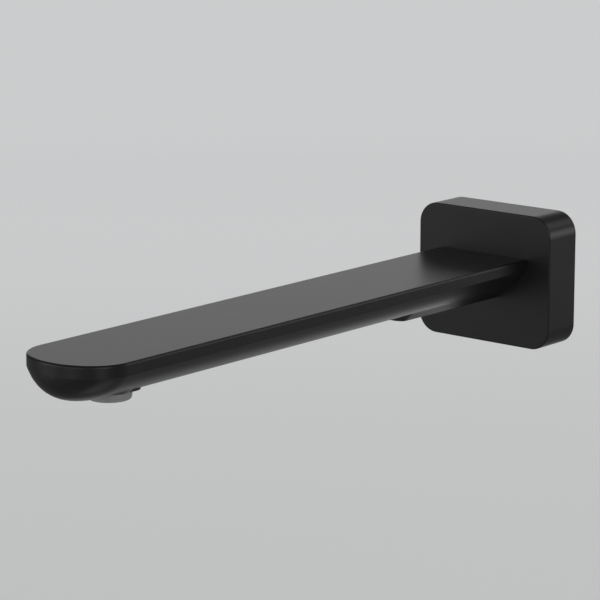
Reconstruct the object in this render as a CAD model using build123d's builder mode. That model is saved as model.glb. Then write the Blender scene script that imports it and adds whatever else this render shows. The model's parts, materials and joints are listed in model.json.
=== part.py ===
from build123d import *
import os
from math import asin, cos, hypot, pi, sqrt, tan

# Wall spout for a bath or a basin, in millimetres.
# The origin is the middle of the cover plate's rear face, which lies on the wall. +Z is up, the spout
# reaches out along -Y, and +X is to the right for someone who stands in front of it. A reach is a
# distance from the wall.

# Cover plate
plate_width = 60.0
plate_height = 50.0
plate_depth = 16.4
plate_corner = 8.0
plate_edge = 0.5
plate_rim = 3.0
plate_face = 5.0

# Spout casting: flat top, upright band, round belly, rounded end past the outlet
spout_width = 39.4
spout_depth = 14.5
band_height = 4.2
top_edge = 0.8
outlet_reach = 218.0
tip_overhang = 27.8
tip_length = 15.8
tip_fullness = 0.75
casting_wall = 2.4

# Root of the casting: spigot through the plate, socket, and the tongue-shaped boss below the socket
root_wall = 1.7
socket_spare = 2.0
boss_width = 12.0
boss_front_width = 10.0
boss_wall = 2.6
boss_drop = 1.9
boss_overhang = 10.0
boss_edge = 0.8
boss_blend = 0.8

# Inlet nipple and the grub screw that holds the casting on it
inlet_thread_radius = 10.48
inlet_thread_length = 14.0
hexagon_flats = 22.0
hexagon_thickness = 6.0
hexagon_stand = 1.0
spigot_radius = 5.1
spigot_reach = 62.0
spigot_lead = 0.6
nipple_bore_radius = 3.3
ring_setback = 5.0
ring_spacing = 6.0
ring_groove_depth = 1.1
ring_groove_width = 2.0
grub_setback = 26.0
grub_radius = 2.0
grub_recess = 0.3
grub_key_flats = 2.0
grub_key_depth = 1.2
grub_groove_depth = 0.9
grub_groove_width = 3.0
grub_point_radius = 1.25

# Two screws from behind, through the plate into the casting
screw_inset = 5.7
screw_height = 3.6
screw_radius = 1.5
screw_length = 10.0
screw_head_radius = 2.75
screw_head_height = 2.4
screw_key_flats = 2.5
screw_key_depth = 1.3
screw_hole_spare = 1.0

# Foam frame in the plate's rear rim
gasket_width = 1.6
gasket_depth = 2.0

# Outlet land and the stub that screws into it
land_margin = 2.4
land_rise = 1.0
stub_length = 3.3
stub_shoulder = 0.7
stub_taper = 0.6
stub_edge = 0.8
stub_thread_radius = 7.0
stub_thread_length = 5.5
stub_wall = 1.4
lip_width = 0.7
lip_thickness = 1.0
throat_ledge = 1.8
throat_rim = 1.4

# Stack inside the stub
honeycomb_thickness = 2.5
cell_flats = 1.6
cell_wall = 0.35
jet_plate_thickness = 1.2
jet_count = 10
jet_radius = 0.45
jet_inset = 1.5
mixer_wall = 0.9
screen_flange_thickness = 0.8
screen_wall = 0.4
screen_height = 2.6
screen_taper = 0.6
mesh_hole_radius = 0.4
mesh_pitch = 1.5
washer_thickness = 1.2
washer_width = 2.3

# Clearances, each measured on the radius
slip_gap = 0.1
thread_gap = 0.05
screw_hole_gap = 0.2

# Levels and places that follow from the sizes above
plate_hollow = plate_depth - plate_face
hollow_corner = plate_corner - plate_rim
hollow_width = plate_width - 2 * plate_rim
hollow_height = plate_height - 2 * plate_rim
hexagon_front = hexagon_stand + hexagon_thickness
socket_radius = spigot_radius + slip_gap
socket_reach = spigot_reach + socket_spare
root_radius = socket_radius + root_wall
boss_floor = -socket_radius - boss_wall
boss_front_radius = boss_front_width / 2
boss_front_reach = socket_reach + boss_overhang - boss_front_radius
belly_floor = boss_floor + boss_drop
spout_top = belly_floor + spout_depth
band_floor = spout_top - band_height
half_width = spout_width / 2
screw_spacing = spout_width - 2 * screw_inset
belly_height = spout_depth - band_height
belly_radius = (half_width**2 + belly_height**2) / (2 * belly_height)
tip_reach = outlet_reach + tip_overhang
tip_start = tip_reach - tip_length
ring_floor_radius = spigot_radius - ring_groove_depth
ring_section_radius = (socket_radius - ring_floor_radius) / 2
ring_center_radius = (socket_radius + ring_floor_radius) / 2
front_ring_reach = spigot_reach - ring_setback
rear_ring_reach = front_ring_reach - ring_spacing
grub_reach = spigot_reach - grub_setback
grub_groove_radius = spigot_radius - grub_groove_depth
grub_floor = boss_floor + grub_recess
stub_root_radius = stub_thread_radius + stub_shoulder
stub_mouth_radius = stub_root_radius - stub_taper
stub_bore_radius = stub_thread_radius - stub_wall
lip_radius = stub_bore_radius - lip_width
land_radius = stub_root_radius + land_margin
throat_radius = stub_thread_radius - throat_ledge
washer_bore_radius = stub_thread_radius - washer_width
land_floor = belly_floor + land_rise
stub_floor = land_floor - stub_length
lip_top = stub_floor + lip_thickness
stub_top = land_floor + stub_thread_length
washer_top = stub_top + washer_thickness
throat_top = washer_top + throat_rim
honeycomb_top = lip_top + honeycomb_thickness
mixer_top = stub_top - screen_flange_thickness
cartridge_radius = stub_bore_radius - slip_gap
mixer_bore_radius = cartridge_radius - mixer_wall
outlet_axis = Axis((0, -outlet_reach, 0), (0, 0, 1))
outlet_profile_plane = Plane.XZ.offset(outlet_reach)


def wall_plane(reach):
    """Plane parallel to the wall, seen from the front: x to the right, y up, normal away from the wall"""
    return Plane.XZ.offset(reach)


def outlet_plane(level):
    """Level plane centred on the outlet"""
    return Plane((0, -outlet_reach, level))


def spout_section(inset):
    """The casting's section in the open sketch, drawn in by inset: a round belly cut by flat top and sides"""
    with Locations((0, belly_floor + belly_radius)):
        Circle(belly_radius - inset)
    with Locations((0, spout_top - inset)):
        Rectangle(
            spout_width - 2 * inset,
            spout_depth,
            align=(Align.CENTER, Align.MAX),
            mode=Mode.INTERSECT,
        )


def tip_plan():
    """Plan of the casting's flat top in the open sketch: straight sides and half an ellipse at the end"""
    with Locations((0, -tip_start)):
        Ellipse(half_width, tip_length)
    with Locations((0, -plate_depth)):
        Rectangle(spout_width, tip_start - plate_depth, align=(Align.CENTER, Align.MAX))


def tip_belly():
    """Belly of the rounded end: each level of it is half an ellipse, and it grows out of the belly's arc.

    Half of it is one rational patch. Its first column is the belly's own arc and its last column is the
    end's keel line, so it runs on from the casting without a step and closes smoothly at the front.
    """
    half_turn = asin(half_width / belly_radius) / 2
    pull = 2 * cos(half_turn)
    corner = belly_radius * tan(half_turn)
    sides = [half_width, (half_width + pull * corner) / (1 + pull), pull * corner / (1 + pull), 0]
    lengths = [tip_length, tip_length, tip_fullness * tip_length, 0]
    levels = [band_floor, (band_floor + pull * belly_floor) / (1 + pull), belly_floor, belly_floor]
    row_weights = [1, (1 + pull) / 3, (1 + pull) / 3, 1]
    column_weights = [1, cos(pi / 4), 1]
    points = [
        [(side, -tip_start, level), (side, -tip_start - length, level), (0, -tip_start - length, level)]
        for side, length, level in zip(sides, lengths, levels)
    ]
    weights = [[row * column for column in column_weights] for row in row_weights]
    right = Face.make_bezier_surface(points, weights)
    left = right.mirror(Plane.YZ)
    chord = Edge.make_line((-half_width, -tip_start, band_floor), (half_width, -tip_start, band_floor))
    rims = [face.edges().sort_by(Axis.Z)[-1] for face in (right, left)]
    arcs = [face.edges().sort_by(Axis.Y)[-1] for face in (right, left)]
    lid = Face(Wire(rims + [chord]))
    joint = Face(Wire(arcs + [chord]))
    return Solid(Shell([right, left, lid, joint]))


def lattice(pitch, limit):
    """Places of a six-sided lattice around the middle of a sketch, none further out than limit"""
    count = int(2 * limit / pitch)
    steps = range(-count, count + 1)
    places = [(pitch * (column + row / 2), pitch * row * sqrt(3) / 2) for row in steps for column in steps]
    return [place for place in places if hypot(*place) <= limit]


os.makedirs("parts", exist_ok=True)

# Spout casting: the bar with its rounded end, then the boss and the outlet post, then the bores
with BuildPart() as spout_body:
    with BuildSketch(wall_plane(plate_depth)):
        spout_section(0)
    extrude(amount=tip_start - plate_depth)
    add(tip_belly())
    with BuildSketch(Plane.XY.offset(band_floor)):
        tip_plan()
    extrude(amount=band_height)
    fillet(faces().sort_by(Axis.Z)[-1].edges().sort_by(Axis.Y)[:-1], top_edge)
    with BuildSketch(Plane.XY.offset(boss_floor)):
        with BuildLine():
            Line((-boss_width / 2, -plate_depth), (boss_width / 2, -plate_depth))
            CenterArc((0, -boss_front_reach), boss_front_radius, 0, 360)
        make_hull()
    extrude(amount=band_floor - boss_floor)
    belly = faces().filter_by(GeomType.CYLINDER).sort_by(SortBy.AREA)[-1]
    boss_foot = edges(Select.NEW) & belly.edges()
    fillet(boss_foot.sort_by(Axis.Y)[:-2], boss_blend)
    fillet(faces().sort_by(Axis.Z)[0].edges().sort_by(Axis.Y)[:-1], boss_edge)
    with BuildSketch(wall_plane(socket_reach)):
        spout_section(casting_wall)
    extrude(amount=tip_start - socket_reach, mode=Mode.SUBTRACT)
    with BuildSketch(outlet_plane(land_floor)):
        Circle(land_radius)
    extrude(amount=throat_top - land_floor)
    with BuildSketch(outlet_plane(land_floor)):
        Circle(land_radius)
    extrude(amount=-land_rise, mode=Mode.SUBTRACT)
    with BuildSketch(outlet_plane(land_floor)):
        Circle(stub_thread_radius + thread_gap)
    extrude(amount=washer_top - land_floor, mode=Mode.SUBTRACT)
    with BuildSketch(outlet_plane(washer_top)):
        Circle(throat_radius)
    extrude(amount=throat_rim, mode=Mode.SUBTRACT)
    with BuildSketch(wall_plane(plate_depth)):
        Circle(root_radius)
    extrude(amount=-plate_face)
    with BuildSketch(wall_plane(plate_hollow)):
        Circle(socket_radius)
    extrude(amount=socket_reach - plate_hollow, mode=Mode.SUBTRACT)
    with BuildSketch(Plane((0, -grub_reach, boss_floor))):
        Circle(grub_radius + thread_gap)
    extrude(amount=-boss_floor, mode=Mode.SUBTRACT)
    with BuildSketch(wall_plane(plate_depth)):
        with Locations((0, screw_height)):
            with GridLocations(screw_spacing, 0, 2, 1):
                Circle(screw_radius + thread_gap)
    extrude(amount=screw_length - plate_face + screw_hole_spare, mode=Mode.SUBTRACT)
spout_body.part.label = "spout_body"
export_step(spout_body.part, "parts/spout_body.step")

# Cover plate: a deep block with soft corners, hollow at the back, with a rebate for the foam frame
with BuildPart() as cover_plate:
    with BuildSketch(wall_plane(0)):
        RectangleRounded(plate_width, plate_height, plate_corner)
    extrude(amount=plate_depth)
    fillet(faces().sort_by(Axis.Y)[0].edges(), plate_edge)
    with BuildSketch(wall_plane(0)):
        RectangleRounded(hollow_width, hollow_height, hollow_corner)
    extrude(amount=plate_hollow, mode=Mode.SUBTRACT)
    with BuildSketch(wall_plane(0)):
        RectangleRounded(hollow_width, hollow_height, hollow_corner)
        offset(amount=gasket_width)
    extrude(amount=gasket_depth, mode=Mode.SUBTRACT)
    with BuildSketch(wall_plane(plate_hollow)):
        Circle(root_radius + slip_gap)
        with Locations((0, screw_height)):
            with GridLocations(screw_spacing, 0, 2, 1):
                Circle(screw_radius + screw_hole_gap)
    extrude(amount=plate_face, mode=Mode.SUBTRACT)
cover_plate.part.label = "cover_plate"
export_step(cover_plate.part, "parts/cover_plate.step")

# Foam frame let into the plate's rear rim, level with its rear face
with BuildPart() as wall_gasket:
    with BuildSketch(wall_plane(0)):
        RectangleRounded(hollow_width, hollow_height, hollow_corner)
        offset(amount=gasket_width)
        RectangleRounded(hollow_width, hollow_height, hollow_corner, mode=Mode.SUBTRACT)
    extrude(amount=gasket_depth)
wall_gasket.part.label = "wall_gasket"
export_step(wall_gasket.part, "parts/wall_gasket.step")

# Two socket-head screws, from the plate's hollow into the casting's root
for side, place in (("left", -screw_spacing / 2), ("right", screw_spacing / 2)):
    with BuildPart() as plate_screw:
        with BuildSketch(wall_plane(plate_hollow)):
            with Locations((place, screw_height)):
                Circle(screw_radius)
        extrude(amount=screw_length)
        with BuildSketch(wall_plane(plate_hollow)):
            with Locations((place, screw_height)):
                Circle(screw_head_radius)
        extrude(amount=-screw_head_height)
        with BuildSketch(wall_plane(plate_hollow - screw_head_height)):
            with Locations((place, screw_height)):
                RegularPolygon(screw_key_flats / 2, 6, major_radius=False)
        extrude(amount=screw_key_depth, mode=Mode.SUBTRACT)
    plate_screw.part.label = "plate_screw_" + side
    export_step(plate_screw.part, "parts/plate_screw_" + side + ".step")

# Inlet nipple: pipe thread for the wall, hexagon, spigot with two ring grooves and the screw's groove
with BuildPart() as inlet_nipple:
    with BuildSketch(wall_plane(hexagon_stand)):
        Circle(inlet_thread_radius)
    extrude(amount=-inlet_thread_length)
    with BuildSketch(wall_plane(hexagon_stand)):
        RegularPolygon(hexagon_flats / 2, 6, major_radius=False)
    extrude(amount=hexagon_thickness)
    with BuildSketch(wall_plane(hexagon_front)):
        Circle(spigot_radius)
    extrude(amount=spigot_reach - hexagon_front)
    chamfer(faces().sort_by(Axis.Y)[0].edges(), spigot_lead)
    with BuildSketch(Plane.XY):
        for reach in (front_ring_reach, rear_ring_reach):
            with Locations((ring_floor_radius, -reach)):
                Rectangle(ring_groove_depth, ring_groove_width, align=(Align.MIN, Align.CENTER))
        with Locations((grub_groove_radius, -grub_reach)):
            Rectangle(grub_groove_depth, grub_groove_width, align=(Align.MIN, Align.CENTER))
    revolve(axis=Axis.Y, mode=Mode.SUBTRACT)
    with BuildSketch(wall_plane(hexagon_stand - inlet_thread_length)):
        Circle(nipple_bore_radius)
    extrude(amount=inlet_thread_length - hexagon_stand + spigot_reach, mode=Mode.SUBTRACT)
inlet_nipple.part.label = "inlet_nipple"
export_step(inlet_nipple.part, "parts/inlet_nipple.step")

# Two rubber rings on the spigot, squeezed between groove and socket
for place, reach in (("front", front_ring_reach), ("rear", rear_ring_reach)):
    with BuildPart() as nipple_o_ring:
        with BuildSketch(Plane.XY):
            with Locations((ring_center_radius, -reach)):
                Circle(ring_section_radius)
        revolve(axis=Axis.Y)
    nipple_o_ring.part.label = "nipple_o_ring_" + place
    export_step(nipple_o_ring.part, "parts/nipple_o_ring_" + place + ".step")

# Grub screw with a plain point, up through the boss into the spigot's groove
with BuildPart() as grub_screw:
    with BuildSketch(Plane((0, -grub_reach, grub_floor))):
        Circle(grub_radius)
    extrude(amount=-socket_radius - slip_gap - grub_floor)
    with BuildSketch(Plane((0, -grub_reach, grub_floor))):
        Circle(grub_point_radius)
    extrude(amount=-grub_groove_radius - slip_gap - grub_floor)
    with BuildSketch(Plane((0, -grub_reach, grub_floor))):
        RegularPolygon(grub_key_flats / 2, 6, major_radius=False)
    extrude(amount=grub_key_depth, mode=Mode.SUBTRACT)
grub_screw.part.label = "grub_screw"
export_step(grub_screw.part, "parts/grub_screw.step")

# Outlet stub: threaded into the post, its tapered mouth below the land, with a lip that holds the stack
with BuildPart() as aerator_housing:
    with BuildSketch(outlet_profile_plane):
        with BuildLine():
            Polyline(
                (stub_bore_radius, stub_top),
                (stub_thread_radius, stub_top),
                (stub_thread_radius, land_floor),
                (stub_root_radius, land_floor),
                (stub_mouth_radius, stub_floor),
                (lip_radius, stub_floor),
                (lip_radius, lip_top),
                (stub_bore_radius, lip_top),
                close=True,
            )
        make_face()
    revolve(axis=outlet_axis)
    fillet(edges().group_by(Axis.Z)[0].sort_by(SortBy.RADIUS)[-1], stub_edge)
aerator_housing.part.label = "aerator_housing"
export_step(aerator_housing.part, "parts/aerator_housing.step")

# Outlet grid that straightens the stream: six-sided cells in a lattice, standing on the stub's lip
with BuildPart() as aerator_honeycomb:
    cell_corner = cell_flats / sqrt(3)
    with BuildSketch(outlet_plane(lip_top)):
        Circle(cartridge_radius)
        with Locations(*lattice(cell_flats + cell_wall, lip_radius - cell_corner)):
            RegularPolygon(cell_corner, 6, rotation=30, mode=Mode.SUBTRACT)
    extrude(amount=honeycomb_thickness)
aerator_honeycomb.part.label = "aerator_honeycomb"
export_step(aerator_honeycomb.part, "parts/aerator_honeycomb.step")

# Mixer: a cup upside down on the grid, with a ring of jets through its floor
with BuildPart() as aerator_mixer:
    with BuildSketch(outlet_plane(honeycomb_top)):
        Circle(cartridge_radius)
    extrude(amount=mixer_top - honeycomb_top)
    with BuildSketch(outlet_plane(honeycomb_top)):
        Circle(mixer_bore_radius)
    extrude(amount=mixer_top - honeycomb_top - jet_plate_thickness, mode=Mode.SUBTRACT)
    with BuildSketch(outlet_plane(mixer_top)):
        with PolarLocations(mixer_bore_radius - jet_inset, jet_count):
            Circle(jet_radius)
    extrude(amount=-jet_plate_thickness, mode=Mode.SUBTRACT)
aerator_mixer.part.label = "aerator_mixer"
export_step(aerator_mixer.part, "parts/aerator_mixer.step")

# Inlet screen: a pressed hat with a flat flange, its crown pierced with a mesh of holes, on the mixer
with BuildPart() as aerator_screen:
    hat_radius = washer_bore_radius - slip_gap
    crown_radius = hat_radius - screen_taper
    crown_top = mixer_top + screen_height
    with BuildSketch(outlet_plane(mixer_top)):
        Circle(cartridge_radius)
    extrude(amount=screen_flange_thickness)
    for inset, mode in ((0, Mode.ADD), (screen_wall, Mode.SUBTRACT)):
        with BuildSketch(outlet_profile_plane):
            with BuildLine():
                Polyline(
                    (0, mixer_top),
                    (hat_radius - inset, mixer_top),
                    (crown_radius - inset, crown_top - inset),
                    (0, crown_top - inset),
                    close=True,
                )
            make_face()
        revolve(axis=outlet_axis, mode=mode)
    with BuildSketch(outlet_plane(crown_top)):
        with Locations(*lattice(mesh_pitch, crown_radius - screen_wall - mesh_hole_radius)):
            Circle(mesh_hole_radius)
    extrude(amount=-screen_wall, mode=Mode.SUBTRACT)
aerator_screen.part.label = "aerator_screen"
export_step(aerator_screen.part, "parts/aerator_screen.step")

# Rubber washer on top of the stub and the screen's flange, against the post's shoulder
with BuildPart() as aerator_washer:
    with BuildSketch(outlet_plane(stub_top)):
        Circle(stub_thread_radius)
        Circle(washer_bore_radius, mode=Mode.SUBTRACT)
    extrude(amount=washer_thickness)
aerator_washer.part.label = "aerator_washer"
export_step(aerator_washer.part, "parts/aerator_washer.step")
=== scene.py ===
import json
import math

import bpy
from mathutils import Matrix, Vector


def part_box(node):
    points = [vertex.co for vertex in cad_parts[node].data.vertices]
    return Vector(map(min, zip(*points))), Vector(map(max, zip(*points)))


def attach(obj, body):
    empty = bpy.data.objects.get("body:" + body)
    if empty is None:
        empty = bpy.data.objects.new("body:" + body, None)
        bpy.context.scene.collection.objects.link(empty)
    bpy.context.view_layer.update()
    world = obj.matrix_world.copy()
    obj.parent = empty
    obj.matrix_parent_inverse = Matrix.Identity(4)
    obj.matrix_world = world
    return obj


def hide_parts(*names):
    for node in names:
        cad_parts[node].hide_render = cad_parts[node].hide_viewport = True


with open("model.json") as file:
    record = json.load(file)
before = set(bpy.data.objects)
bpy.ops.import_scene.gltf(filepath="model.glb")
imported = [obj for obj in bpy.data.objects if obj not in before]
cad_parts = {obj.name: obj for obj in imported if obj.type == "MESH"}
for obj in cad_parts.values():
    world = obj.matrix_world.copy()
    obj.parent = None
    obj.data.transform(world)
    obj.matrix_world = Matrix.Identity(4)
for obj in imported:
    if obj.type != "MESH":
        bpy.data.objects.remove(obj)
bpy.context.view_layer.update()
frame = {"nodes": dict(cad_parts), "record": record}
nodes = frame["nodes"]

# Camera: a long lens to the right of the spout's end and a little above it, as in the photograph.
# The photograph is square, and the lens's axis goes through its middle.
photo_width_pixels = 600
focal_length_pixels = 2861.6
sensor_width_mm = 36.0
view_azimuth = math.radians(39.958)
view_elevation = math.radians(12.234)
view_roll = math.radians(0.052)
camera_place = Vector((0.619114, -0.861768, 0.217274))
nearest_seen = 0.05
furthest_seen = 50


def new_object(name, data):
    """A new object in the scene, at the origin"""
    made = bpy.data.objects.new(name, data)
    bpy.context.scene.collection.objects.link(made)
    return made


camera = bpy.data.cameras.new("camera")
camera.sensor_width = sensor_width_mm
camera.lens = focal_length_pixels / photo_width_pixels * sensor_width_mm
camera.clip_start = nearest_seen
camera.clip_end = furthest_seen
camera_object = new_object("camera", camera)
right = Vector((math.cos(view_azimuth), math.sin(view_azimuth), 0))
back = Vector(
    (
        math.sin(view_azimuth) * math.cos(view_elevation),
        -math.cos(view_azimuth) * math.cos(view_elevation),
        math.sin(view_elevation),
    )
)
roll = Matrix.Rotation(view_roll, 3, "Z")
axes = Matrix((right, back.cross(right), back)).transposed() @ roll
camera_object.matrix_world = Matrix.Translation(camera_place) @ axes.to_4x4()
bpy.context.scene.camera = camera_object
bpy.context.scene.view_settings.view_transform = "Standard"

# Floor: pale matt board far below the spout, which hangs from its wall fitting. Seen by the camera
# it is lit through a little, and it runs out into the even backdrop before its own edge shows.
floor_level = -0.30
floor_half = 6.0
floor_colour = (0.6, 0.6, 0.6, 1)
floor_roughness = 0.9
floor_lift = 0.62
backdrop_colour = (0.60, 0.605, 0.61, 1)
backdrop_strength = 1.0
fade_start = 0.6
fade_end = 2.4


def add_node(tree, kind, inputs=None, **settings):
    """A new node in a tree. Each input is a value, or another node's output that is linked to it."""
    node = tree.nodes.new(kind)
    for setting, value in settings.items():
        setattr(node, setting, value)
    for socket, value in (inputs or {}).items():
        if isinstance(value, bpy.types.NodeSocket):
            tree.links.new(value, node.inputs[socket])
        else:
            node.inputs[socket].default_value = value
    return node


def arithmetic(tree, operation, first, second):
    """Result of one operation on two values in a tree"""
    return add_node(tree, "ShaderNodeMath", {0: first, 1: second}, operation=operation).outputs[0]


def new_material(name):
    """A new material, its tree and the shader in it"""
    material = bpy.data.materials.new(name)
    material.use_nodes = True
    return material, material.node_tree, material.node_tree.nodes["Principled BSDF"]


floor_mesh = bpy.data.meshes.new("floor")
floor_corners = ((-1, -1), (1, -1), (1, 1), (-1, 1))
floor_mesh.from_pydata(
    [(x * floor_half, y * floor_half, floor_level) for x, y in floor_corners],
    [],
    [(0, 1, 2, 3)],
)
floor = new_object("floor", floor_mesh)
floor_paint, tree, board = new_material("floor_paint")
board.inputs["Base Color"].default_value = floor_colour
board.inputs["Roughness"].default_value = floor_roughness
board.inputs["Emission Color"].default_value = backdrop_colour
seen = add_node(tree, "ShaderNodeLightPath").outputs["Is Camera Ray"]
lift = arithmetic(tree, "MULTIPLY", seen, floor_lift)
tree.links.new(lift, board.inputs["Emission Strength"])
place = add_node(tree, "ShaderNodeTexCoord").outputs["Object"]
distance = add_node(tree, "ShaderNodeVectorMath", {0: place}, operation="LENGTH")
fade = add_node(
    tree,
    "ShaderNodeMapRange",
    {"Value": distance.outputs["Value"], "From Min": fade_start, "From Max": fade_end},
    interpolation_type="SMOOTHSTEP",
)
share = arithmetic(tree, "MULTIPLY", fade.outputs["Result"], seen)
haze = add_node(
    tree, "ShaderNodeEmission", {"Color": backdrop_colour, "Strength": backdrop_strength}
)
mixed = add_node(
    tree,
    "ShaderNodeMixShader",
    {"Fac": share, 1: board.outputs["BSDF"], 2: haze.outputs["Emission"]},
)
tree.links.new(mixed.outputs["Shader"], tree.nodes["Material Output"].inputs["Surface"])
floor_mesh.materials.append(floor_paint)

# Sky: the same pale backdrop where the camera sees it. For everything else it is a dim even light,
# which fills what the lamps leave dark on the spout.
ambient = 0.17

sky = bpy.data.worlds.new("sky")
sky.use_nodes = True
tree = sky.node_tree
background = tree.nodes["Background"]
background.inputs["Color"].default_value = backdrop_colour
seen = add_node(tree, "ShaderNodeLightPath").outputs["Is Camera Ray"]
strength = add_node(
    tree,
    "ShaderNodeMapRange",
    {"Value": seen, "To Min": ambient, "To Max": backdrop_strength},
)
tree.links.new(strength.outputs["Result"], background.inputs["Strength"])
bpy.context.scene.world = sky

# Lamps: broad soft panels that face the spout, and cards that lie on the floor and show in its
# belly, its rounded end and its plate. Each has its place, its width, its height and its
# brightness, in metres and in units of white.
spout_middle = Vector((0, -0.12, 0))
straight_up = Vector((0, 0, 1))
card_gap = 0.01
card_level = floor_level + card_gap
panels = {
    "low_left_behind": ((-1.26, 1.38, 0.40), 2.0, 0.9, 0.62),
    "high_right_behind": ((0.76, 1.38, 1.08), 0.9, 0.9, 0.62),
    "low_right_behind": ((1.26, 1.38, 0.15), 1.2, 0.6, 1.25),
    "front": ((0.2, -2.2, 0.4), 1.4, 1.0, 0.85),
    "front_left": ((-1.2, -1.6, 0.35), 1.2, 1.2, 1.0),
    "front_right": ((1.5, -0.9, 0.6), 1.0, 1.0, 1.3),
}
cards = {
    "floor_card": ((-0.37, 0.35, card_level), 0.5, 0.5, 0.28),
    "small_floor_card": ((-0.27, 0.41, card_level + card_gap), 0.14, 0.10, 0.5),
    "end_card": ((0.05, -0.20, card_level), 0.14, 0.14, 0.36),
    "end_middle_card": ((-0.05, -1.55, card_level), 0.5, 0.6, 0.60),
    "end_right_card": ((1.15, -0.95, card_level), 0.6, 0.6, 0.85),
    "plate_card": ((-0.85, -1.10, card_level), 0.6, 0.6, 0.24),
    "rim_card": ((-0.23, 0.01, card_level), 0.18, 0.16, 0.34),
}
for name, (lamp_place, width, height, brightness) in (panels | cards).items():
    lamp = bpy.data.lights.new(name, "AREA")
    lamp.shape = "RECTANGLE"
    lamp.size = width
    lamp.size_y = height
    lamp.energy = brightness * math.pi * width * height
    lamp_object = new_object(name, lamp)
    lamp_object.location = lamp_place
    facing = straight_up if name in cards else spout_middle - Vector(lamp_place)
    lamp_object.rotation_mode = "QUATERNION"
    lamp_object.rotation_quaternion = facing.to_track_quat("-Z", "Y")
    lamp_object.visible_camera = False

# Inlet nipple: turned brass bar with a pipe thread for the wall, a hexagon for the spanner and a
# long spigot with grooves for two rubber rings and the grub screw. It carries the whole spout.
mm = 0.001
thread_mount = next(
    mount for mount in frame["record"]["mounts"] if mount["name"] == "inlet_thread"
)
nipple_low, nipple_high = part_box("inlet_nipple")
hexagon_thickness = 6.0 * mm
thread_end = nipple_high[1]
crest_radius = thread_mount["dims"]["r_mm"] * mm
hexagon_rear = thread_end - thread_mount["dims"]["length_mm"] * mm
hexagon_front = hexagon_rear - hexagon_thickness
spigot_end = nipple_low[1]
hexagon_corner = nipple_high[0]
hexagon_flat = nipple_high[2]
thread_pitch = 1.814 * mm
thread_depth = 1.162 * mm
thread_crest = 0.30 * mm
thread_runout = 1.5 * mm
core_radius = crest_radius - thread_depth
spigot_radius = 5.1 * mm
bore_radius = 3.3 * mm
grub_setback = 26.0 * mm
rear_ring_setback = 11.0 * mm
front_ring_setback = 5.0 * mm
grub_groove = (0.9 * mm, 3.0 * mm)
ring_groove = (1.1 * mm, 2.0 * mm)
lead = 0.6 * mm
bore_edge = 0.3 * mm
hexagon_chamfer = math.radians(30)
hexagon_edge = (hexagon_corner - hexagon_flat) * math.tan(hexagon_chamfer)
crease_angle = math.radians(25)
turned_steps = 120

outline = [
    (bore_radius, thread_end - bore_edge),
    (bore_radius + bore_edge, thread_end),
    (core_radius - lead, thread_end),
    (core_radius, thread_end - lead),
    (core_radius, hexagon_rear),
    (hexagon_flat, hexagon_rear),
    (hexagon_corner, hexagon_rear - hexagon_edge),
    (hexagon_corner, hexagon_front + hexagon_edge),
    (hexagon_flat, hexagon_front),
    (spigot_radius, hexagon_front),
]
for setback, (depth, width) in (
    (grub_setback, grub_groove),
    (rear_ring_setback, ring_groove),
    (front_ring_setback, ring_groove),
):
    middle = spigot_end + setback
    outline += [
        (spigot_radius, middle + width / 2),
        (spigot_radius - depth, middle + width / 2),
        (spigot_radius - depth, middle - width / 2),
        (spigot_radius, middle - width / 2),
    ]
outline += [
    (spigot_radius, spigot_end + lead),
    (spigot_radius - lead, spigot_end),
    (bore_radius + bore_edge, spigot_end),
    (bore_radius, spigot_end + bore_edge),
]


def hexagon_radius(angle):
    """Distance of the hexagon's side from the axis. Its corners point to the left and the right."""
    sixth = math.pi / 3
    return hexagon_flat / math.cos(angle % sixth - sixth / 2)


corners = []
for radius, level in outline:
    for step in range(turned_steps):
        angle = 2 * math.pi * step / turned_steps
        limit = hexagon_radius(angle) if hexagon_front <= level <= hexagon_rear else radius
        across = min(radius, limit)
        corners.append((across * math.cos(angle), level, across * math.sin(angle)))
sides = []
for ring in range(len(outline)):
    next_ring = (ring + 1) % len(outline)
    for step in range(turned_steps):
        next_step = (step + 1) % turned_steps
        sides.append(
            (
                ring * turned_steps + step,
                ring * turned_steps + next_step,
                next_ring * turned_steps + next_step,
                next_ring * turned_steps + step,
            )
        )
nipple_mesh = bpy.data.meshes.new("inlet_nipple_brass")
nipple_mesh.from_pydata(corners, [], sides)
nipple = new_object("inlet_nipple_brass", nipple_mesh)

# Its brass is tarnished in soft clouds and has the fine rings that the lathe tool leaves.
tarnished_brass = (0.55, 0.36, 0.13)
clean_brass = (0.76, 0.55, 0.24)
tarnish_start = 0.35
tarnish_end = 0.65
tarnished_roughness = 0.40
clean_roughness = 0.22
tarnish_clouds_per_metre = 160.0
rings_per_metre = 5200.0
ring_depth = 0.02 * mm
ring_strength = 0.35


def two_colours(tree, value, first, second, start=0.0, end=1.0):
    """Colour that runs from the first to the second while a value goes from start to end"""
    ramp = add_node(tree, "ShaderNodeValToRGB", {"Fac": value})
    low, high = ramp.color_ramp.elements
    low.position = start
    low.color = (*first, 1)
    high.position = end
    high.color = (*second, 1)
    return ramp.outputs["Color"]


def relief(tree, shader, height, strength, depth):
    """Gives a shader a fine relief that follows a value"""
    bump = add_node(
        tree, "ShaderNodeBump", {"Height": height, "Strength": strength, "Distance": depth}
    )
    tree.links.new(bump.outputs["Normal"], shader.inputs["Normal"])


def gloss(tree, shader, value, low, high):
    """Gives a shader a roughness that follows a value"""
    spread = add_node(tree, "ShaderNodeMapRange", {"Value": value, "To Min": low, "To Max": high})
    tree.links.new(spread.outputs["Result"], shader.inputs["Roughness"])


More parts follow.
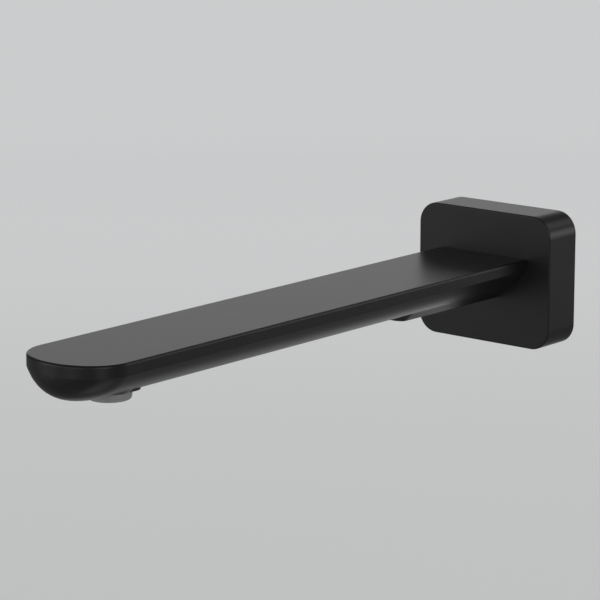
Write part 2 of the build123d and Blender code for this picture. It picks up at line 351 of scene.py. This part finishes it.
brass, tree, shader = new_material("turned_brass")
shader.inputs["Metallic"].default_value = 1.0
place = add_node(tree, "ShaderNodeTexCoord").outputs["Object"]
along = add_node(tree, "ShaderNodeSeparateXYZ", {0: place})
tool_rings = add_node(
    tree,
    "ShaderNodeTexNoise",
    {"W": along.outputs["Y"], "Scale": rings_per_metre, "Detail": 3.0, "Roughness": 0.6},
    noise_dimensions="1D",
)
tarnish = add_node(
    tree, "ShaderNodeTexNoise", {"Vector": place, "Scale": tarnish_clouds_per_metre, "Detail": 5.0}
).outputs["Fac"]
tint = two_colours(tree, tarnish, tarnished_brass, clean_brass, tarnish_start, tarnish_end)
tree.links.new(tint, shader.inputs["Base Color"])
gloss(tree, shader, tarnish, tarnished_roughness, clean_roughness)
relief(tree, shader, tool_rings.outputs["Fac"], ring_strength, ring_depth)

# Its thread's ridge is a blunt wedge, swept along a helix round the core and tapered at both ends.
helix_points_per_turn = 72
ridge_half_share = 0.47
ridge_sunk_share = 0.05
taper_share = 0.08
taper_scale = 0.02


def size_inputs(tree, names):
    """Gives a geometry tree its geometry sockets and one named size input for each name"""
    tree.interface.new_socket("Geometry", in_out="INPUT", socket_type="NodeSocketGeometry")
    for name in names:
        tree.interface.new_socket(name, in_out="INPUT", socket_type="NodeSocketFloat")
    tree.interface.new_socket("Geometry", in_out="OUTPUT", socket_type="NodeSocketGeometry")
    return tree.nodes.new("NodeGroupInput").outputs, tree.nodes.new("NodeGroupOutput").inputs


def finish_tree(tree, geometry, material, result):
    """Ends a geometry tree: real meshes in the given material"""
    realized = add_node(tree, "GeometryNodeRealizeInstances", {"Geometry": geometry})
    dressed = add_node(
        tree,
        "GeometryNodeSetMaterial",
        {"Geometry": realized.outputs["Geometry"], "Material": material},
    )
    tree.links.new(dressed.outputs["Geometry"], result["Geometry"])


def grow(piece, tree, sizes):
    """Runs a geometry tree on a piece and keeps the result as its plain mesh"""
    modifier = piece.modifiers.new(tree.name, "NODES")
    modifier.node_group = tree
    for item in tree.interface.items_tree:
        if item.name in sizes:
            modifier[item.identifier] = sizes[item.name]
    graph = bpy.context.evaluated_depsgraph_get()
    mesh = bpy.data.meshes.new_from_object(piece.evaluated_get(graph), depsgraph=graph)
    piece.modifiers.remove(modifier)
    mesh.name = piece.name
    piece.data = mesh


thread_tree = bpy.data.node_groups.new("pipe_thread", "GeometryNodeTree")
given, result = size_inputs(
    thread_tree, ("Core Radius", "Pitch", "Depth", "Crest", "Start", "Length")
)
helix = add_node(
    thread_tree,
    "GeometryNodeCurveSpiral",
    {
        "Resolution": helix_points_per_turn,
        "Rotations": arithmetic(thread_tree, "DIVIDE", given["Length"], given["Pitch"]),
        "Start Radius": given["Core Radius"],
        "End Radius": given["Core Radius"],
        "Height": given["Length"],
    },
)
level_helix = add_node(
    thread_tree, "GeometryNodeSetCurveNormal", {"Curve": helix.outputs["Curve"]}, mode="Z_UP"
)
half_foot = arithmetic(thread_tree, "MULTIPLY", given["Pitch"], ridge_half_share)
half_crest = arithmetic(thread_tree, "MULTIPLY", given["Crest"], 0.5)
wedge_corners = []
for depth_share, half in ((ridge_sunk_share, half_foot), (-1.0, half_crest)):
    inward = arithmetic(thread_tree, "MULTIPLY", given["Depth"], depth_share)
    for sign in (1.0, -1.0):
        signed = arithmetic(thread_tree, "MULTIPLY", half, sign)
        corner = add_node(thread_tree, "ShaderNodeCombineXYZ", {"X": inward, "Y": signed})
        wedge_corners.append(corner.outputs["Vector"])
wedge = add_node(
    thread_tree,
    "GeometryNodeCurvePrimitiveQuadrilateral",
    {
        "Point 1": wedge_corners[0],
        "Point 2": wedge_corners[1],
        "Point 3": wedge_corners[3],
        "Point 4": wedge_corners[2],
    },
    mode="POINTS",
)
along_helix = add_node(thread_tree, "GeometryNodeSplineParameter").outputs["Factor"]
rise = add_node(
    thread_tree,
    "ShaderNodeMapRange",
    {"Value": along_helix, "From Max": taper_share, "To Min": taper_scale},
)
fall = add_node(
    thread_tree,
    "ShaderNodeMapRange",
    {
        "Value": along_helix,
        "From Min": 1.0,
        "From Max": 1.0 - taper_share,
        "To Min": taper_scale,
    },
)
ridge = add_node(
    thread_tree,
    "GeometryNodeCurveToMesh",
    {
        "Curve": level_helix.outputs["Curve"],
        "Profile Curve": wedge.outputs["Curve"],
        "Scale": arithmetic(
            thread_tree, "MINIMUM", rise.outputs["Result"], fall.outputs["Result"]
        ),
        "Fill Caps": True,
    },
)
start_place = add_node(thread_tree, "ShaderNodeCombineXYZ", {"Y": given["Start"]})
turned_ridge = add_node(
    thread_tree,
    "GeometryNodeTransform",
    {
        "Geometry": ridge.outputs["Mesh"],
        "Translation": start_place.outputs["Vector"],
        "Rotation": (-math.pi / 2, 0, 0),
    },
)
joined = add_node(thread_tree, "GeometryNodeJoinGeometry")
thread_tree.links.new(given["Geometry"], joined.inputs["Geometry"])
thread_tree.links.new(turned_ridge.outputs["Geometry"], joined.inputs["Geometry"])
finish_tree(thread_tree, joined.outputs["Geometry"], brass, result)
grow(
    nipple,
    thread_tree,
    {
        "Core Radius": core_radius,
        "Pitch": thread_pitch,
        "Depth": thread_depth,
        "Crest": thread_crest,
        "Start": hexagon_rear + thread_runout,
        "Length": thread_end - lead - hexagon_rear - thread_runout,
    },
)
nipple.data.set_sharp_from_angle(angle=crease_angle)
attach(nipple, "root")
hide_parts("inlet_nipple")

# Rubber rings: two moulded rings of black rubber, rolled over the spigot into its grooves. The
# casting's socket squeezes them, and so they keep the water in.


def grained_material(name, dark, light, smooth, rough, grain, depth):
    """A surface whose colour varies in soft clouds, with a fine even grain of a size and a depth"""
    clouds_per_metre = 45.0
    cloud_start = 0.3
    cloud_end = 0.7
    grain_strength = 0.25
    material, tree, shader = new_material(name)
    place = add_node(tree, "ShaderNodeTexCoord").outputs["Object"]
    cloud = add_node(
        tree, "ShaderNodeTexNoise", {"Vector": place, "Scale": clouds_per_metre, "Detail": 4.0}
    )
    tint = two_colours(tree, cloud.outputs["Fac"], dark, light, cloud_start, cloud_end)
    tree.links.new(tint, shader.inputs["Base Color"])
    speck = add_node(
        tree, "ShaderNodeTexNoise", {"Vector": place, "Scale": 1 / grain, "Detail": 2.0}
    ).outputs["Fac"]
    gloss(tree, shader, speck, smooth, rough)
    relief(tree, shader, speck, grain_strength, depth)
    return material


def dress(material, *names):
    """Gives CAD nodes a material"""
    for name in names:
        nodes[name].data.materials.clear()
        nodes[name].data.materials.append(material)


rubber = grained_material(
    "seal_rubber",
    dark=(0.014, 0.014, 0.015),
    light=(0.024, 0.024, 0.025),
    smooth=0.45,
    rough=0.62,
    grain=0.35 * mm,
    depth=0.02 * mm,
)
dress(rubber, "nipple_o_ring_front", "nipple_o_ring_rear")

# Cover plate: a deep cast brass cover with soft corners and a hollow back, in the same matt black
# coating as the spout. It hides the hole in the wall and is screwed to the spout from behind.
black_coating = grained_material(
    "black_coating",
    dark=(0.011, 0.011, 0.0115),
    light=(0.016, 0.016, 0.0165),
    smooth=0.29,
    rough=0.36,
    grain=0.22 * mm,
    depth=0.004 * mm,
)
dress(black_coating, "cover_plate")

# Foam frame: a flat frame of black closed-cell foam, let into the plate's rear rim. It is pressed
# against the wall and seals the plate to it. Its colour is painted darker toward the middle of each
# cell, where its relief is sunk, as painted shade in the pores.
foam_pore_painted_shade = (0.012, 0.012, 0.012)
foam_wall = (0.055, 0.055, 0.056)
foam_roughness = 0.95
foam_cells_per_metre = 2100.0
pore_depth = 0.15 * mm
pore_strength = 0.6

foam, tree, shader = new_material("black_foam")
shader.inputs["Roughness"].default_value = foam_roughness
place = add_node(tree, "ShaderNodeTexCoord").outputs["Object"]
cells = add_node(
    tree, "ShaderNodeTexVoronoi", {"Vector": place, "Scale": foam_cells_per_metre}
).outputs["Distance"]
# The first colour is painted shade: each pore is painted darker toward its middle, where the relief
# is sunk.
tint = two_colours(tree, cells, foam_pore_painted_shade, foam_wall)
tree.links.new(tint, shader.inputs["Base Color"])
relief(tree, shader, cells, pore_strength, pore_depth)
dress(foam, "wall_gasket")

# Plate screws: two stainless socket-head screws, from the plate's hollow into the spout's root, with
# straight ribs round their heads.
screw_head_height = 2.4 * mm
rib_height = 1.9 * mm
rib_radius = 0.16 * mm
rib_count = 40
rib_sides = 6

steel = grained_material(
    "screw_steel",
    dark=(0.42, 0.42, 0.43),
    light=(0.60, 0.60, 0.61),
    smooth=0.24,
    rough=0.42,
    grain=0.30 * mm,
    depth=0.006 * mm,
)
steel.node_tree.nodes["Principled BSDF"].inputs["Metallic"].default_value = 1.0
dress(steel, "plate_screw_left", "plate_screw_right")

rib_tree = bpy.data.node_groups.new("head_ribs", "GeometryNodeTree")
given, result = size_inputs(
    rib_tree, ("Head Radius", "Rib Radius", "Rib Height", "Rib Count", "Across", "Along", "Up")
)
head_rim = add_node(
    rib_tree,
    "GeometryNodeMeshCircle",
    {"Vertices": given["Rib Count"], "Radius": given["Head Radius"]},
)
rib = add_node(
    rib_tree,
    "GeometryNodeMeshCone",
    {
        "Vertices": rib_sides,
        "Radius Top": given["Rib Radius"],
        "Radius Bottom": given["Rib Radius"],
        "Depth": given["Rib Height"],
    },
)
number = add_node(rib_tree, "GeometryNodeInputIndex").outputs[0]
pitch_angle = arithmetic(rib_tree, "DIVIDE", 2 * math.pi, given["Rib Count"])
turn = arithmetic(rib_tree, "MULTIPLY", number, pitch_angle)
rib_turn = add_node(rib_tree, "ShaderNodeCombineXYZ", {"Z": turn})
placed = add_node(
    rib_tree,
    "GeometryNodeInstanceOnPoints",
    {
        "Points": head_rim.outputs["Mesh"],
        "Instance": rib.outputs["Mesh"],
        "Rotation": rib_turn.outputs["Vector"],
    },
)
head_place = add_node(
    rib_tree,
    "ShaderNodeCombineXYZ",
    {"X": given["Across"], "Y": given["Along"], "Z": given["Up"]},
)
turned_ribs = add_node(
    rib_tree,
    "GeometryNodeTransform",
    {
        "Geometry": placed.outputs["Instances"],
        "Translation": head_place.outputs["Vector"],
        "Rotation": (-math.pi / 2, 0, 0),
    },
)
finish_tree(rib_tree, turned_ribs.outputs["Geometry"], steel, result)
for side in ("left", "right"):
    screw_low, screw_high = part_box("plate_screw_" + side)
    name = "plate_screw_" + side + "_ribs"
    ribs = new_object(name, bpy.data.meshes.new(name))
    grow(
        ribs,
        rib_tree,
        {
            "Head Radius": (screw_high[0] - screw_low[0]) / 2,
            "Rib Radius": rib_radius,
            "Rib Height": rib_height,
            "Rib Count": rib_count,
            "Across": (screw_low[0] + screw_high[0]) / 2,
            "Along": screw_high[1] - screw_head_height / 2,
            "Up": (screw_low[2] + screw_high[2]) / 2,
        },
    )
    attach(ribs, "root")

# Spout: one hollow brass casting with a flat top, upright sides, a round belly and a rounded end, in
# matt black coating. It slides onto the nipple's spigot. Here the rim of its flat land is drawn in
# to the stub on the side of the end, and the front of the boss below its root is set back.
land_radius = 10.1 * mm
land_floor = -4.9 * mm
sunk_land_half_width = 6.9 * mm
rim_tolerance = 0.02 * mm
collar_radius = 8.0 * mm
collar_full = -0.3
collar_none = 0.55
boss_root = 6.0 * mm
boss_front = 5.0 * mm
boss_front_middle = -69.0 * mm
boss_front_share = 0.54
boss_blend_reach = 2.5 * mm
boss_top = -4.0 * mm


def collar_share(toward_wall):
    """How far the collar is drawn out: fully on the side of the end, and not at all behind it"""
    share = min(max((collar_none - toward_wall) / (collar_none - collar_full), 0.0), 1.0)
    return share * share * (3 - 2 * share)


stub_low, stub_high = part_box("aerator_housing")
outlet_middle = (stub_low + stub_high) / 2
casting_mesh = nodes["spout_body"].data.copy()
for vertex in casting_mesh.vertices:
    out = (vertex.co - outlet_middle).to_2d()
    on_circle = abs(out.length - land_radius) < rim_tolerance
    on_land = abs(vertex.co.z - land_floor) < rim_tolerance
    if on_circle and on_land and abs(out.x) > sunk_land_half_width:
        radius = land_radius + (collar_radius - land_radius) * collar_share(out.y / out.length)
        vertex.co.xy = outlet_middle.to_2d() + out * (radius / land_radius)
    past_middle = vertex.co.y - boss_front_middle
    in_front = -boss_front - boss_blend_reach < past_middle < 0
    if in_front and vertex.co.z < boss_top and abs(vertex.co.x) < boss_root:
        vertex.co.y = boss_front_middle + past_middle * boss_front_share
casting_mesh.materials.clear()
casting_mesh.materials.append(black_coating)
casting = new_object("spout_casting", casting_mesh)
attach(casting, "root")
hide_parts("spout_body")

# Cast collar: part of the same casting. On the side of the spout's end the belly runs down to the
# outlet stub in a flat cone, which dies away round the stub toward the wall.
collar_bend_radius = 10.2 * mm
collar_top_radius = 12.1 * mm
collar_floor = -5.3 * mm
collar_bend = -4.2 * mm
collar_top = -2.6 * mm
collar_inside = 7.8 * mm
collar_sunk = 8.3 * mm
collar_steps = 144


def sweep(name, rings, closed):
    """A black-coated piece through rings of points, each ring with the same number of points"""
    count = len(rings[0])
    faces = []
    for first in range(len(rings)):
        second = (first + 1) % len(rings)
        for step in range(count if closed else count - 1):
            after = (step + 1) % count
            faces.append(
                (
                    first * count + step,
                    second * count + step,
                    second * count + after,
                    first * count + after,
                )
            )
    if not closed:
        faces.append(tuple(range(0, len(rings) * count, count)))
        faces.append(tuple(range(len(rings) * count - 1, 0, -count)))
    mesh = bpy.data.meshes.new(name)
    mesh.from_pydata([point for ring in rings for point in ring], [], faces)
    mesh.set_sharp_from_angle(angle=crease_angle)
    mesh.materials.append(black_coating)
    piece = new_object(name, mesh)
    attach(piece, "root")


rings = []
for radius, level in (
    (collar_radius, collar_floor),
    (collar_bend_radius, collar_bend),
    (collar_top_radius, collar_top),
    (collar_inside, collar_top),
    (collar_inside, collar_floor),
):
    hidden_radius = min(radius, collar_sunk)
    hidden_level = max(level, land_floor)
    ring = []
    for step in range(collar_steps):
        angle = 2 * math.pi * step / collar_steps
        share = collar_share(math.sin(angle))
        reach = hidden_radius + (radius - hidden_radius) * share
        ring.append(
            (
                outlet_middle.x + reach * math.cos(angle),
                outlet_middle.y + reach * math.sin(angle),
                hidden_level + (level - hidden_level) * share,
            )
        )
    rings.append(ring)
sweep("outlet_collar", rings, True)

# Cast foot: part of the same casting. The tongue-shaped boss below the root, which takes the grub
# screw, stands on a flank that runs out into the belly. Each corner of the flank's section has its
# margin outside the boss's own outline, and its level.
flank_section = {
    "lower_edge": (-0.75 * mm, -7.76 * mm),
    "rounding": (-0.1 * mm, -7.4 * mm),
    "bend": (1.5 * mm, -5.9 * mm),
    "run_out": (6.3 * mm, -2.5 * mm),
    "inner_top": (-0.9 * mm, -2.5 * mm),
    "inner_floor": (-0.9 * mm, -7.4 * mm),
}
front_steps = 32

plate_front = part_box("cover_plate")[0][1]
rings = []
for margin, level in flank_section.values():
    half = boss_root + margin
    radius = boss_front + margin
    run = plate_front - boss_front_middle
    tangent = math.atan2(run, half) - math.acos(radius / math.hypot(run, half))
    ring = [(half, plate_front, level)]
    for step in range(front_steps + 1):
        angle = tangent - (math.pi + 2 * tangent) * step / front_steps
        past_middle = radius * math.sin(angle)
        if past_middle < 0:
            past_middle *= boss_front_share
        ring.append((radius * math.cos(angle), boss_front_middle + past_middle, level))
    ring.append((-half, plate_front, level))
    rings.append(ring)
sweep("boss_foot", rings, False)

# Grub screw: a short stainless screw with a key socket. It goes up through the boss into the spigot's
# groove and locks the spout on the nipple.
dress(steel, "grub_screw")

# Outlet stub: a short tapered ring of grey moulded plastic with a thread above it, screwed into the
# casting's end. The lip inside its mouth carries the aerator.
stub_plastic = grained_material(
    "stub_plastic",
    dark=(0.42, 0.42, 0.42),
    light=(0.49, 0.49, 0.49),
    smooth=0.38,
    rough=0.50,
    grain=0.25 * mm,
    depth=0.008 * mm,
)
dress(stub_plastic, "aerator_housing")

# Aerator: the stack in the stub that shapes the stream. On the stub's lip stands a moulded grid of
# cells, then a moulded mixer with jets and a steel screen, with a rubber washer against the casting.
outlet_plastic = grained_material(
    "outlet_plastic",
    dark=(0.36, 0.365, 0.37),
    light=(0.45, 0.455, 0.46),
    smooth=0.35,
    rough=0.48,
    grain=0.3 * mm,
    depth=0.006 * mm,
)
dress(outlet_plastic, "aerator_honeycomb", "aerator_mixer")
dress(steel, "aerator_screen")
dress(rubber, "aerator_washer")
